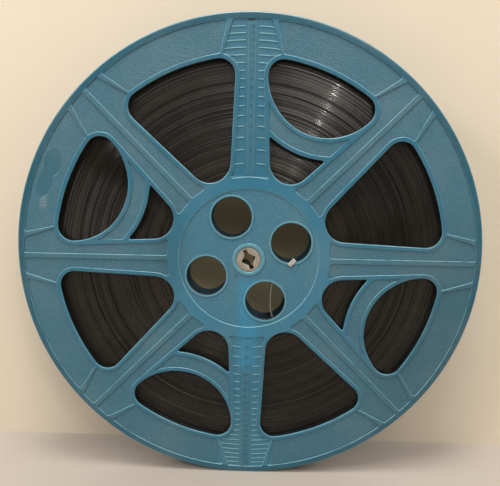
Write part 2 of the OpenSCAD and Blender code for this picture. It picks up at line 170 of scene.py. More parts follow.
class Net:
    """Adds linked nodes to a tree. Values are numbers, colours or the sockets of other nodes."""

    def __init__(self, tree):
        self.tree = tree

    def put(self, value, socket):
        """Links a socket to another one, or sets its number or colour."""
        if isinstance(value, bpy.types.NodeSocket):
            self.tree.links.new(value, socket)
        elif socket.type == "RGBA":
            socket.default_value = (*value, 1.0)
        else:
            socket.default_value = value

    def add(self, kind, **values):
        """A node with its attributes or input sockets set by name."""
        node = self.tree.nodes.new(kind)
        for name, value in values.items():
            if hasattr(node, name):
                setattr(node, name, value)
            else:
                self.put(value, node.inputs[name.replace("_", " ")])
        return node

    def maths(self, operation, *values, clamp=False):
        node = self.add("ShaderNodeMath", operation=operation, use_clamp=clamp)
        for value, socket in zip(values, node.inputs):
            self.put(value, socket)
        return node.outputs[0]

    def times(self, total, *values):
        """The product of values, or where several masks overlap."""
        for value in values:
            total = self.maths("MULTIPLY", total, value)
        return total

    def plus(self, total, *values, clamp=False):
        for value in values:
            total = self.maths("ADD", total, value, clamp=clamp)
        return total

    def minus(self, first, second):
        return self.maths("SUBTRACT", first, second)

    def without(self, mask):
        """1 where a mask is 0, and 0 where it is 1."""
        return self.maths("SUBTRACT", 1.0, mask)

    def either(self, first, second):
        """The larger of two masks."""
        return self.maths("MAXIMUM", first, second)

    def ramp(self, value, low, high, to_low=0.0, to_high=1.0):
        """A smooth step of a value from to_low to to_high."""
        return self.add(
            "ShaderNodeMapRange", interpolation_type="SMOOTHSTEP", Value=value, From_Min=low, From_Max=high,
            To_Min=to_low, To_Max=to_high).outputs["Result"]

    def under(self, value, limit, soft):
        """1 where a value lies under a limit, blurred by a distance to both sides."""
        return self.ramp(value, limit + soft, limit - soft)

    def over(self, value, limit, soft):
        """1 where a value lies over a limit, blurred by a distance to both sides."""
        return self.ramp(value, limit - soft, limit + soft)

    def between(self, value, low, high, soft=0.3 * MM):
        """1 where a value lies between two limits, with soft ends outside them."""
        return self.times(self.ramp(value, low - soft, low), self.ramp(value, high + soft, high))

    def mix(self, share, first, second):
        """Mixes two colours by a share. The node's colour sockets are 6 and 7, and 2 on its other side."""
        node = self.add("ShaderNodeMix", data_type="RGBA")
        for value, index in ((share, 0), (first, 6), (second, 7)):
            self.put(value, node.inputs[index])
        return node.outputs[2]

    def paint(self, base, *layers):
        """Lays colours over a base. Each layer has a mask, its share and its colour."""
        for mask, share, colour in layers:
            base = self.mix(mask if share == 1 else self.times(mask, share), base, colour)
        return base

    def coordinates(self):
        """The object coordinates, which are the same for all pieces."""
        return self.add("ShaderNodeTexCoord").outputs["Object"]

    def normal(self):
        return self.add("ShaderNodeNewGeometry").outputs["Normal"]

    def parts(self, vector):
        """The X, Y and Z of a vector."""
        return self.add("ShaderNodeSeparateXYZ", Vector=vector).outputs

    def radius(self, axes):
        """Distance from the reel's axis."""
        total = self.plus(self.times(axes["X"], axes["X"]), self.times(axes["Z"], axes["Z"]))
        return self.maths("SQRT", total)

    def noise(self, vector, scale, detail=2.0, roughness=0.5):
        """A noise texture, with features of about 1 / scale metres."""
        return self.add(
            "ShaderNodeTexNoise", Vector=vector, Scale=scale, Detail=detail,
            Roughness=roughness).outputs["Fac"]

    def spot(self, axes, centre, along, across, turn, soft):
        """1 inside an ellipse, in millimetres in the reel's plane and turned by degrees."""
        dx, dz = (self.minus(axes[name], place * MM) for name, place in zip("XZ", centre))
        c, s = math.cos(math.radians(turn)), math.sin(math.radians(turn))
        squares = []
        for p, q, size in ((c, s, along), (-s, c, across)):
            share = self.plus(self.times(dx, p / (size * MM)), self.times(dz, q / (size * MM)))
            squares.append(self.times(share, share))
        return self.under(self.maths("SQRT", self.plus(*squares)), 1.0, soft / 2)

    def group(self, name, **values):
        """Places a shared effect with values of its own."""
        return self.add("ShaderNodeGroup", node_tree=bpy.data.node_groups[name], **values).outputs

    def bump(self, height, distance, strength=1.0, **before):
        """The normal of a surface raised by a height, which is in metres where the distance is 1."""
        return self.add(
            "ShaderNodeBump", Height=height, Distance=distance, Strength=strength,
            **before).outputs["Normal"]

    def lay_out(self):
        """Puts each node in a column by its distance from the end of the tree."""
        width, height = 220, 320
        columns = {node.name: 0 for node in self.tree.nodes}
        moved = True
        while moved:
            moved = False
            for link in self.tree.links:
                column = columns[link.to_node.name] + 1
                if columns[link.from_node.name] < column:
                    columns[link.from_node.name] = column
                    moved = True
        rows = dict.fromkeys(columns.values(), 0)
        for name, column in columns.items():
            self.tree.nodes[name].location = (-width * column, -height * rows[column])
            rows[column] += 1


def new_group(name, inputs, outputs):
    """A node group with named number inputs and outputs: its net and the sockets of its two ends."""
    group = bpy.data.node_groups.new(name, "ShaderNodeTree")
    for title, default in inputs.items():
        socket = group.interface.new_socket(title, in_out="INPUT", socket_type="NodeSocketFloat")
        socket.default_value = default
    for title in outputs:
        group.interface.new_socket(title, in_out="OUTPUT", socket_type="NodeSocketFloat")
    net = Net(group)
    return net, net.add("NodeGroupInput").outputs, net.add("NodeGroupOutput").inputs


def make_edge_group():
    """Masks for rounded edges: Worn lies on high ones, painted shade in low ones, and Steep on all walls.
    """
    inputs = {"Low": 11.3 * MM, "High": 12.2 * MM}
    net, start, end = new_group("edge marks", inputs, ("Worn", "LowShade", "Steep"))
    vector = net.coordinates()
    slope = net.without(net.maths("ABSOLUTE", net.parts(net.normal())["Y"]))
    bent = net.ramp(slope, 0.02, 0.3)
    height = net.minus(net.maths("ABSOLUTE", net.parts(vector)["Y"]), start["Low"])
    share = net.maths("DIVIDE", height, net.minus(start["High"], start["Low"]))
    high = net.ramp(share, 0.55, 0.85)
    low = net.ramp(share, 0.45, 0.12)
    patches = net.ramp(net.noise(vector, scale=90.0, detail=4.0, roughness=0.6), 0.25, 0.6)
    net.put(net.times(bent, high, patches), end["Worn"])
    net.put(net.times(bent, low), end["LowShade"])
    net.put(net.ramp(slope, 0.3, 0.7), end["Steep"])
    net.lay_out()


def make_grain_group():
    """The fine stipple of a moulded face, as a height from 0 to 1."""
    net, start, end = new_group("stipple", {"Size": 0.5 * MM, "Clumping": 0.35}, ("Height",))
    vector = net.coordinates()
    scale = net.maths("DIVIDE", 1.0, start["Size"])
    cells = net.add(
        "ShaderNodeTexVoronoi", feature="SMOOTH_F1", Vector=vector, Scale=scale, Smoothness=0.6)
    pits = net.maths("SUBTRACT", 1.0, cells.outputs["Distance"], clamp=True)
    fine = net.noise(vector, scale=net.times(scale, 0.42), detail=3.0)
    clumps = net.times(fine, start["Clumping"])
    net.put(net.plus(net.times(pits, net.without(start["Clumping"])), clumps), end["Height"])
    net.lay_out()


def make_dust_group():
    """Dust: a thin uneven veil, and single specks."""
    net, start, end = new_group("dust", {"Veil": 0.3, "Specks": 0.5}, ("Veil", "Specks"))
    vector = net.coordinates()
    veil = net.ramp(net.noise(vector, scale=24.0, detail=5.0, roughness=0.62), 0.38, 0.78)
    dots = net.add("ShaderNodeTexVoronoi", feature="F1", Vector=vector, Scale=420.0)
    spot = net.ramp(dots.outputs["Distance"], 0.16, 0.06)
    chance = net.add("ShaderNodeSeparateColor", Color=dots.outputs["Color"])
    rare = net.ramp(chance.outputs[0], 0.86, 0.9)
    net.put(net.times(veil, start["Veil"]), end["Veil"])
    net.put(net.times(spot, rare, start["Specks"]), end["Specks"])
    net.lay_out()


def ring_steps(net, radius, pitch):
    """A random value for each ring of a pitch, and how far a point lies into its ring."""
    count = net.maths("FLOOR", net.maths("DIVIDE", radius, pitch))
    chance = net.add("ShaderNodeTexWhiteNoise", noise_dimensions="1D", W=count)
    return chance.outputs["Value"], net.minus(radius, net.times(count, pitch))


def make_turns_group():
    """Edges of wound film: rings of single tilts, as a tone, thin dark gaps and a height in metres."""
    inputs = {"Pitch": 1.1 * MM, "Tilt": 0.3, "Slope": -0.1}
    net, start, end = new_group("film turns", inputs, ("Tone", "Gap", "Height"))
    vector = net.coordinates()
    wobble = net.times(net.noise(vector, scale=16.0), 0.4 * MM)
    radius = net.plus(net.radius(net.parts(vector)), wobble)
    ring, into = ring_steps(net, radius, start["Pitch"])
    fine, _ = ring_steps(net, radius, net.times(start["Pitch"], 0.37))
    rare, within = ring_steps(net, radius, net.times(start["Pitch"], 0.55))
    bands = net.add("ShaderNodeTexNoise", noise_dimensions="1D", W=radius, Scale=70.0, Detail=3.0)
    broad = net.ramp(bands.outputs["Fac"], 0.3, 0.7, 0.3, 1.0)
    both = net.plus(net.times(ring, 0.45), net.times(fine, 0.45))
    pale = net.times(net.ramp(rare, 0.86, 0.92), 0.5)
    net.put(net.plus(net.times(both, broad), pale), end["Tone"])
    gap = net.ramp(rare, 0.17, 0.10)
    net.put(gap, end["Gap"])
    tilt = net.times(net.minus(ring, 0.5), start["Tilt"])
    sunk = net.times(gap, within, 0.5)
    slope = net.times(radius, start["Slope"])
    net.put(net.plus(net.times(tilt, into), sunk, slope), end["Height"])
    net.lay_out()


def new_material(name):
    """A material with a Principled shader, and the net of its tree."""
    material = bpy.data.materials.new(name)
    material.use_nodes = True
    return material, Net(material.node_tree)


def finished(material, net, **values):
    """The material with its shader's inputs linked or set by name, and its tree laid out."""
    shader = net.tree.nodes["Principled BSDF"].inputs
    for name, value in values.items():
        net.put(value, shader[name.replace("_", " ")])
    net.lay_out()
    return material


def own_axes(net, axes):
    """Size of x and z in a moulding's own frame. The back one is turned over about the hub line."""
    behind = net.ramp(axes["Y"], -MM, MM)
    turn = 2 * sizes().hub_turn
    found = []
    for own, p, q in (
            (axes["X"], math.cos(turn), math.sin(turn)), (axes["Z"], math.sin(turn), -math.cos(turn))):
        turned = net.plus(net.times(axes["X"], p), net.times(axes["Z"], q))
        both = net.add("ShaderNodeMix", data_type="FLOAT", Factor=behind, A=own, B=turned)
        found.append(net.maths("ABSOLUTE", both.outputs[0]))
    return found


def rib_mask(net, axes, radius, scale):
    """Ribs on the spokes and beside the sector panels, which are stippled like the panels."""
    rib_half, hub_side, rim_side, sector_side = 2.5 * MM, 62 * MM, 169.2 * MM, 149.5 * MM
    half_pitch = math.pi / 8
    angle = net.maths("WRAP", net.maths("ARCTAN2", axes["Z"], axes["X"]), half_pitch, -half_pitch)
    along = net.times(net.maths("COSINE", angle), radius)
    aside = net.times(net.maths("ABSOLUTE", net.maths("SINE", angle)), radius)
    rib = net.times(
        net.ramp(aside, rib_half, rib_half - 0.3 * MM), net.between(radius, hub_side, rim_side),
        net.without(scale))
    # A separator lies between two slanted lines, each aside + slope * along at a constant reach
    inner_slope, inner_reach = 0.3142, 66.5 * MM
    outer_slope, outer_reach = 0.2162, 54.4 * MM
    separator = net.times(
        net.over(net.plus(aside, net.times(along, inner_slope)), inner_reach, 0.2 * MM),
        net.under(net.plus(aside, net.times(along, outer_slope)), outer_reach, 0.2 * MM),
        net.between(radius, sector_side, rim_side))
    return net.either(rib, separator)


def scale_masks(net, axes, height):
    """Masks of the two scales: all of a scale, its smooth part, painted highlights on the relief, painted
    shade on the digits, and inner end.
    """
    across, along = own_axes(net, axes)
    # A scale's spoke widens near the rim, and a band for the numbers runs down its middle
    narrow_half, wide_half, band_half = 13.25 * MM, 21.5 * MM, 3.0 * MM
    hub_side, widening, rim_side = 61.4 * MM, 146 * MM, 169.0 * MM
    narrow = net.either(net.under(across, narrow_half, 0.25 * MM), net.over(along, widening, MM))
    scale = net.times(
        narrow, net.under(across, wide_half, 0.5 * MM), net.between(along, hub_side, rim_side, 0.6 * MM))
    band = net.under(across, band_half, 0.1 * MM)
    plain = net.times(scale, net.without(net.times(band, 0.3)))
    smooth = net.times(plain, net.ramp(along, 105 * MM, 160 * MM, 0.9, 0.35))
    band_edge = net.times(
        scale, net.between(across, band_half - 0.3 * MM, band_half, 0.2 * MM),
        net.over(height, 11.5 * MM, 0.1 * MM))
    marks = net.times(
        scale, net.ramp(height, 11.45 * MM, 11.62 * MM), net.ramp(height, 11.95 * MM, 11.8 * MM),
        net.over(across, band_half + 1.55 * MM, 0.15 * MM), net.ramp(along, 63 * MM, 63.6 * MM))
    # The marks and the band's edges get painted highlights
    highlit_relief = net.plus(net.times(marks, 0.55), net.times(band_edge, 0.25))
    # The digits get painted shade
    digits = net.times(scale, band, net.between(height, 11.8 * MM, 11.9 * MM, 0.03 * MM))
    inner_end = net.times(
        net.under(across, 15.5 * MM, 0.5 * MM), net.ramp(along, 64 * MM, 63 * MM, 0.0, 0.7),
        net.over(along, 59.5 * MM, 0.5 * MM))
    return scale, plain, smooth, highlit_relief, digits, inner_end


def front_masks(net, vector, axes):
    """Masks of what only the front has: two smooth ovals, a dusty spot, painted shade in a slot and a
    stain.
    """
    front = net.ramp(axes["Y"], -TOP / 2, -TOP / 2 - MM)
    upper = net.spot(axes, (-144.9, 68.8), 6.2, 10.0, 165, soft=0.12)
    lower = net.spot(axes, (-151.6, 53.8), 5.2, 11.2, 160, soft=0.12)
    ovals = net.times(net.either(upper, lower), front)
    spot = net.spot(axes, (-153.4, 40.1), 2.6, 4.6, 165, soft=1.2)
    specks = net.ramp(net.noise(vector, scale=1400.0, detail=1.0), 0.5, 0.62)
    # The slot is painted shade at the top of the band
    slot = net.times(
        front, net.between(axes["X"], -3.0 * MM, 1.2 * MM, 0.5 * MM),
        net.between(axes["Z"], 168.3 * MM, 169.5 * MM, 0.2 * MM))
    stain = net.spot(axes, (-9, -13), 1.3, 1.0, 28.6, soft=0.9)
    return front, ovals, net.times(spot, front, specks), slot, net.times(stain, front)


def uneven_masks(net, axes, front):
    """A painted sheen: a brighter blue stretch below the spindle; and painted shade: two zones that are a
    little darker.
    """
    middle = net.ramp(net.maths("ABSOLUTE", axes["X"]), 11 * MM, 3 * MM)
    bluer = net.times(front, middle, net.between(axes["Z"], -78 * MM, -22 * MM, 16 * MM))
    # Painted shade: a zone on the right and one left of the hub are darker
    right = net.spot(axes, (140, -62), 42, 70, -24, soft=1.6)
    hub = net.spot(axes, (-58, 4), 12, 34, 0, soft=1.6)
    return bluer, net.times(net.plus(right, hub), front)


def plastic_material(name):
    """Moulded plastic: smooth lips and bead, and greyer, finely stippled panels and ribs."""
    size, colour = sizes(), colours()
    material, net = new_material(name)
    vector = net.coordinates()
    axes = net.parts(vector)
    height = net.maths("ABSOLUTE", axes["Y"])
    radius = net.radius(axes)
    hub_edge, rim_edge = 58 * MM, 170 * MM

    floors = net.times(
        net.ramp(height, size.floor_level - 0.5 * MM, size.floor_level - 0.3 * MM),
        net.ramp(height, size.scale_level + 0.2 * MM, size.scale_level + 0.05 * MM))
    scale, plain, smooth, highlit_relief, digits, inner_end = scale_masks(net, axes, height)
    front, ovals, spot, slot, stain = front_masks(net, vector, axes)
    bluer, darker = uneven_masks(net, axes, front)
    covered = net.either(floors, rib_mask(net, axes, radius, scale))
    panel = net.times(covered, net.without(smooth))
    stippled = net.times(covered, net.without(net.either(ovals, plain)))
    disc = net.times(net.under(radius, size.disc_radius, 0.3 * MM), floors)
    bead = net.over(radius, rim_edge, 0.4 * MM)
    # Painted highlight on the outer edge of the rim bead
    rim = net.times(net.ramp(radius, 173.6 * MM, 174.1 * MM), net.ramp(height, 10.5 * MM, 11.0 * MM))
    grain = net.group("stipple", Size=0.9 * MM, Clumping=0.5)["Height"]
    pits = net.times(net.ramp(grain, 0.9, 0.3), stippled)
    drift = net.ramp(net.noise(vector, scale=9.0, detail=4.0, roughness=0.6), 0.3, 0.7)
    edge = net.group("edge marks", Low=size.floor_level, High=TOP)
    dust = net.group("dust", Veil=0.07, Specks=0.35)
    specks = net.either(dust["Specks"], net.times(spot, 0.6))

    # The scales' relief, the disc's rim and the hub's raised faces are paler as painted highlights, and
    # worn edges are paler as wear, and as painted highlight most where they face up
    disc_rim = net.times(
        net.ramp(radius, size.disc_radius - 0.6 * MM, size.disc_radius - 0.2 * MM),
        net.ramp(radius, size.disc_radius + 0.6 * MM, size.disc_radius + 0.1 * MM))
    raised = net.times(net.under(radius, 51.5 * MM, 0.5 * MM), net.ramp(height, 11.7 * MM, 11.95 * MM))
    highlit_relief = net.plus(highlit_relief, net.times(disc_rim, 0.35), net.times(raised, 0.3))
    upward = net.ramp(net.parts(net.normal())["Z"], 0.05, 0.4, 0.8, 2.4)
    worn = net.plus(highlit_relief, net.times(edge["Worn"], upward), clamp=True)

    # Painted shade low on the walls, less on the scales, and least at their inner ends
    clear = net.without(inner_end)
    low_shade = net.times(edge["LowShade"], clear, net.without(net.times(scale, 0.6)))

    # The walls of windows, holes and panels and the inner faces lie in their own shade
    walls = net.times(
        edge["Steep"], net.ramp(height, 11.85 * MM, 11.25 * MM),
        net.ramp(radius, rim_edge, rim_edge - MM), clear)
    inner = net.ramp(height, size.inner_level + 0.8 * MM, size.inner_level + 0.2 * MM, 0.0, 0.95)
    in_hub = net.ramp(radius, hub_edge, hub_edge + MM, 0.8, 1.0)
    shaded = net.times(net.either(inner, net.times(walls, 0.94)), in_hub)

    outside = net.over(radius, 63 * MM, MM)
    # Among these layers is painted light: a painted sheen below the spindle; painted shade in two zones, in
    # low corners, on the digits, in the slot and on walls and inner faces; and painted highlights on edges,
    # marks and the rim
    base = net.paint(
        net.mix(outside, colour.lip, [0.84 * c for c in colour.lip]),
        (panel, 1, colour.panel), (disc, 1, colour.disc), (bead, 0.8, colour.bead),
        (drift, 0.14, colour.lip), (pits, 0.38, colour.dirt), (ovals, 0.9, colour.ovals),
        (bluer, 0.5, colour.bluer), (darker, 0.3, colour.dirt), (worn, 1, colour.worn),
        (low_shade, 0.9, colour.dirt), (digits, 0.5, colour.dirt), (rim, 0.5, colour.worn),
        (dust["Veil"], 1, colour.dust), (specks, 1, colour.dust), (stain, 0.6, colour.stain),
        (slot, 0.85, colour.slot), (shaded, 1, colour.shade))
    rough = net.plus(
        net.times(stippled, 0.2), 0.24, net.times(drift, 0.06), net.times(walls, -0.12),
        net.times(shaded, net.ramp(radius, hub_edge, hub_edge + MM, 0.6, 0.0)))
    scratches = net.noise(vector, scale=260.0, detail=6.0, roughness=0.7)
    normal = net.bump(net.times(grain, stippled), 0.44 * MM)
    normal = net.bump(scratches, 0.03 * MM, 0.6, Normal=normal)
    return finished(
        material, net, Base_Color=base, Roughness=rough, Normal=normal, Specular_IOR_Level=0.38)


def steel_material(name):
    """Dull plated steel with a cream tone, a brown veil and dark specks."""
    colour = colours()
    material, net = new_material(name)
    vector = net.coordinates()
    grain = net.group("stipple", Size=0.5 * MM, Clumping=0.7)["Height"]
    dust = net.group("dust", Veil=0.35, Specks=0.4)
    blotch = net.ramp(net.noise(vector, scale=420.0, detail=4.0, roughness=0.65), 0.35, 0.7)
    base = net.paint(
        net.mix(blotch, colour.steel, [0.72 * c for c in colour.steel]),
        (dust["Veil"], 1, colour.steel_veil), (dust["Specks"], 1, colour.steel_specks))
    rough = net.ramp(blotch, 0.0, 1.0, 0.42, 0.6)
    normal = net.bump(grain, 0.05 * MM)
    return finished(material, net, Base_Color=base, Roughness=rough, Normal=normal, Metallic=0.55)


def film_material(name, brown, seed):
    """Edges of film wound turn on turn, glossy along the radius."""
    colour = colours()
    material, net = new_material(name)
    vector = net.coordinates()
    turns = net.group("film turns", Pitch=(0.7 + 0.1 * seed) * MM, Tilt=0.21, Slope=-0.18)
    dust = net.group("dust", Veil=0.02, Specks=0.2)
    patch = net.ramp(net.noise(vector, scale=14.0, detail=3.0, roughness=0.55), 0.35, 0.7)
    dark = colour.film_brown if brown else colour.film_edge
    base = net.paint(
        net.mix(turns["Tone"], dark, colour.film_light),
        (turns["Gap"], 1, colour.film_gap), (patch, 0.25, colour.film_brown),
        (dust["Veil"], 1, colour.dust), (dust["Specks"], 1, colour.dust))
    rough = net.plus(net.ramp(turns["Tone"], 0.2, 0.45, 0.24, 0.13), net.times(turns["Gap"], 0.4))
    normal = net.bump(turns["Height"], 1.0)
    tangent = net.add("ShaderNodeTangent", direction_type="RADIAL", axis="Y").outputs[0]
    return finished(
        material, net, Base_Color=base, Roughness=rough, Normal=normal, Tangent=tangent,
        Anisotropic=1.0, Anisotropic_Rotation=0.25, Specular_IOR_Level=0.31)


def strip_material(name, base_colour, light_share):
    """The flat side of film or leader, smooth with faint rubs."""
    material, net = new_material(name)
    dust = net.group("dust", Veil=0.15, Specks=0.5)
    rubs = net.ramp(net.noise(net.coordinates(), scale=160.0, detail=5.0, roughness=0.6), 0.4, 0.75)
    lighter = [c + light_share * (1 - c) for c in base_colour]
    base = net.mix(dust["Veil"], net.mix(rubs, base_colour, lighter), colours().dust)
    rough = net.ramp(rubs, 0.0, 1.0, 0.22, 0.4)
    return finished(material, net, Base_Color=base, Roughness=rough, Normal=net.bump(rubs, 0.01 * MM))


def material_of(name, maker, *values):
    """The material of that name, made with the shared effects when it is first asked for."""
    if "dust" not in bpy.data.node_groups:
        make_edge_group()
        make_grain_group()
        make_dust_group()
        make_turns_group()
    return bpy.data.materials.get(name) or maker(name, *values)


def plastic():
    return material_of("moulded plastic", plastic_material)


# Meshes


def merged_copy(node, above=0.0):
    """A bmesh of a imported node, with the triangles beyond a distance from the middle plane joined."""
    bm = bmesh.new()
    bm.from_mesh(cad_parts[node].data)
    bmesh.ops.remove_doubles(bm, verts=bm.verts, dist=2 * SAME_SPOT)
    edges = [e for e in bm.edges if max(abs(v.co.y) for v in e.verts) > above]
    bmesh.ops.dissolve_limit(
        bm, angle_limit=math.radians(0.3), use_dissolve_boundaries=False,
        verts=[v for v in bm.verts if abs(v.co.y) > above], edges=edges, delimit={"NORMAL"})
    bm.normal_update()
    return bm


def new_object(bm, name, material):
    """An object at the origin that takes its mesh from a bmesh."""
    mesh = bpy.data.meshes.new(name)
    bm.to_mesh(mesh)
    bm.free()
    mesh.materials.append(material)
    made = bpy.data.objects.new(name, mesh)
    bpy.context.scene.collection.objects.link(made)
    return made


def finish_piece(bm, name, material, nodes=(), smooth=True, sharp_angle=38.0):
    """Turns a bmesh into a piece of the reel, which rides on its body."""
    piece = new_object(bm, name, material)
    piece.data.polygons.foreach_set("use_smooth", [smooth] * len(piece.data.polygons))
    if smooth:
        piece.data.set_sharp_from_angle(angle=math.radians(sharp_angle))
    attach(piece, BODY)
    if nodes:
        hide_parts(*nodes)
    return piece


def thicken(piece):
    """Gives a flat strip of film its thickness."""
    wall = piece.modifiers.new("Thickness", "SOLIDIFY")
    wall.thickness, wall.offset = sizes().film_thickness, 0.0


def border_bend(vert, level, pick):
    """How a corner of a removed flat is rounded: its way into the flat, its width, depth and side.

    The side is 1 where the wall goes down from the flat and -1 where it rises from it.
    """
    ways, radii, sides = [], [], []
    for edge in vert.link_edges:
        if edge.is_boundary:
            wall = edge.link_faces[0]
            drop = max((level - abs(v.co.y) for v in wall.verts), key=abs)
            side = 1 if drop > 0 else -1
            ways.append(-side * Vector((wall.normal.x, 0, wall.normal.z)))
            upright = abs(wall.normal.y) < 0.1
            radii.append(pick(drop) if upright else (0.0, 0.0))
            sides.append(side)
    if len(ways) != 2 or sides[0] != sides[1] or ways[0].dot(ways[1]) < -0.9:
        return Vector(), 0.0, 1
    width, depth = min(radii)
    return (ways[0] + ways[1]) * width / max(0.5, 1 + ways[0].dot(ways[1])), depth, sides[0]


def round_level(bm, level, pick, segments):
    """Rounds the edges of the flat outer faces at a distance from the middle plane.

    Pick gives the rounding's width and depth for a wall's drop, which is negative where it rises.
    """
    flats = [
        f for f in bm.faces
        if abs(f.normal.y) > 0.999 and abs(abs(f.verts[0].co.y) - level) < SAME_LEVEL
        and f.normal.y * f.verts[0].co.y > 0
    ]
    bmesh.ops.delete(bm, geom=flats, context="FACES")
    ring = [e for e in bm.edges if e.is_boundary]
    bends = {}
    for vert in {v for e in ring for v in e.verts}:
        way, depth, side = border_bend(vert, level, pick)
        bends[vert] = (vert.co.copy(), way, depth, side)
    for vert, (base, _, depth, side) in bends.items():
        vert.co.y = math.copysign(level - side * depth, base.y)
    for step in range(1, segments + 1):
        turn = math.pi / 2 * step / segments
        grown = bmesh.ops.extrude_edge_only(bm, edges=ring)["geom"]
        ring = [g for g in grown if isinstance(g, bmesh.types.BMEdge) and g.is_boundary]
        fresh = {}
        for vert in {v for e in ring for v in e.verts}:
            old = next(o for o in (e.other_vert(vert) for e in vert.link_edges) if o in bends)
            base, way, depth, side = fresh[vert] = bends[old]
            height = level - side * depth * (1 - math.sin(turn))
            spot = base + way * (1 - math.cos(turn))
            vert.co = (spot.x, math.copysign(height, base.y), spot.z)
        bends = fresh
    bmesh.ops.triangle_fill(bm, use_beauty=True, use_dissolve=False, edges=ring)
    bmesh.ops.remove_doubles(bm, verts=bm.verts, dist=SAME_SPOT)
    bmesh.ops.recalc_face_normals(bm, faces=bm.faces)


def bevel_level(bm, level, offset, segments):
    """Bevels the sharp edges that lie flat at a distance from the middle plane."""
    sharp = [
        e for e in bm.edges
        if max(abs(abs(v.co.y) - level) for v in e.verts) <= SAME_LEVEL
        and e.is_manifold and e.calc_face_angle(0.0) > math.radians(25)
    ]
    bmesh.ops.bevel(
        bm, geom=sharp, offset=offset, offset_type="OFFSET", segments=segments, profile=0.5,
        affect="EDGES", clamp_overlap=False, material=-1, loop_slide=True)


def half_flange(name, node):
    """One moulding, with its lips, ribs and marks rounded."""
    size = sizes()
    bm = merged_copy(node, size.inner_level + 0.1 * MM)

    def lip(drop):
        # A wall over 2 mm high goes through the flange, and a lower one stands on a panel
        return (size.window_round,) * 2 if drop > 2 * MM else (size.lip_width, size.lip_round)

    def low(drop):
        # A fillet takes a little less than half of a wall, which leaves room for the rounding above it
        return (size.mark_round if drop > 0 else min(size.floor_round, -0.47 * drop),) * 2

    round_level(bm, TOP, lip, segments=5)
    round_level(bm, size.finger_level, lambda drop: (size.finger_round,) * 2, segments=3)
    round_level(bm, size.scale_level, low, segments=2)
    round_level(bm, size.floor_level, low, segments=2)
    piece = finish_piece(bm, name, plastic(), (node,))
    normals = piece.modifiers.new("Flat faces stay flat", "WEIGHTED_NORMAL")
    normals.mode, normals.weight, normals.keep_sharp = "FACE_AREA", 50, True


class REEL_OT_flanges(bpy.types.Operator):
    """Add the two moulded halves of the reel"""

    bl_idname = "reel.flanges"
    bl_label = "Flanges"
    bl_options = {"REGISTER", "UNDO"}

    def execute(self, context):
        half_flange("front_half", "front_flange")
        half_flange("back_half", "back_flange")
        return {"FINISHED"}


class REEL_OT_plates(bpy.types.Operator):
    """Add the two steel spindle plates"""

    bl_idname = "reel.plates"
    bl_label = "Spindle plates"
    bl_options = {"REGISTER", "UNDO"}

    def execute(self, context):
        for side in ("front", "back"):
            node = f"{side}_spindle_plate"
            bm = merged_copy(node)
            low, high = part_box(node)
            for level in (abs(low.y), abs(high.y)):
                bevel_level(bm, level, sizes().plate_round, segments=2)
            steel = material_of("plated steel", steel_material)
            finish_piece(bm, f"{side}_steel_plate", steel, (node,))
        return {"FINISHED"}


def wound_profile(inner, outer, rng):
    """Radii and half widths of a wound length, whose turns stand out in small bundles."""
    bundles = (0.45, 0.6, 0.9, 1.3, 2.1)
    proud_share, proud = 0.12, 0.14 * MM
    steps, radius = [], inner
    while radius < outer - 0.4 * MM:
        width = rng.choice(bundles) * MM
        stand = FILM_HALF + rng.uniform(-0.14, 0.06) * MM
        if rng.random() < proud_share:
            stand += proud
        end = min(outer, radius + width)
        steps.append((radius, end, stand))
        radius = end
    return steps


def wound_length(name, node, inner, outer, seed, brown):
    """A length of film wound on the reel, as a lathed solid with uneven sides."""
    rng = random.Random(seed)
    bm = bmesh.new()
    points = []
    ease = 0.04 * MM
    for side in (-1, 1):
        run = []
        for start, end, stand in wound_profile(inner, outer, rng):
            run += [(start + ease, side * stand), (end - ease, side * stand)]
        run[0] = (inner, run[0][1])
        run[-1] = (outer, run[-1][1])
        points += run if side < 0 else run[::-1]
    verts = [bm.verts.new((x, y, 0)) for x, y in points]
    for a, b in zip(verts, verts[1:] + verts[:1]):
        bm.edges.new((a, b))
    bmesh.ops.spin(
        bm, geom=bm.verts[:] + bm.edges[:], cent=(0, 0, 0), axis=(0, 1, 0), dvec=(0, 0, 0),
        angle=2 * math.pi, space=Matrix.Identity(4), steps=sizes().spin_steps, use_merge=True)
    bmesh.ops.remove_doubles(bm, verts=bm.verts, dist=SAME_SPOT)
    bmesh.ops.recalc_face_normals(bm, faces=bm.faces)
    material = material_of(f"{name} edges", film_material, brown, seed)
    finish_piece(bm, name, material, (node,), sharp_angle=20.0)


class REEL_OT_film(bpy.types.Operator):
    """Add the three wound lengths of film"""

    bl_idname = "reel.film"
    bl_label = "Wound film"
    bl_options = {"REGISTER", "UNDO"}

    def execute(self, context):
        inner = sizes().drum_radius + CLEARANCE
        for seed, part in enumerate(("inner", "middle", "outer"), start=1):
            node = f"{part}_film_length"
            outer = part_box(node)[1].x
            wound_length(f"{part}_film", node, inner, outer, seed, part == "inner")
            inner = outer + CLEARANCE
        return {"FINISHED"}


def arc_points(centre, radius, start, end, count):
    """Points of an arc in the reel's plane, with angles in degrees."""
    angles = [math.radians(start + (end - start) * i / count) for i in range(count + 1)]
    return [Vector(centre) + radius * Vector((math.cos(a), math.sin(a))) for a in angles]


def along_line(line, distances):
    """Points at rising distances along a line of points."""
    found, index, passed = [], 0, 0.0
    for distance in distances:
        step = line[index + 1] - line[index]
        while index < len(line) - 2 and passed + step.length < distance:
            passed += step.length
            index += 1
            step = line[index + 1] - line[index]
        found.append(line[index] + step * ((distance - passed) / step.length))
    return found


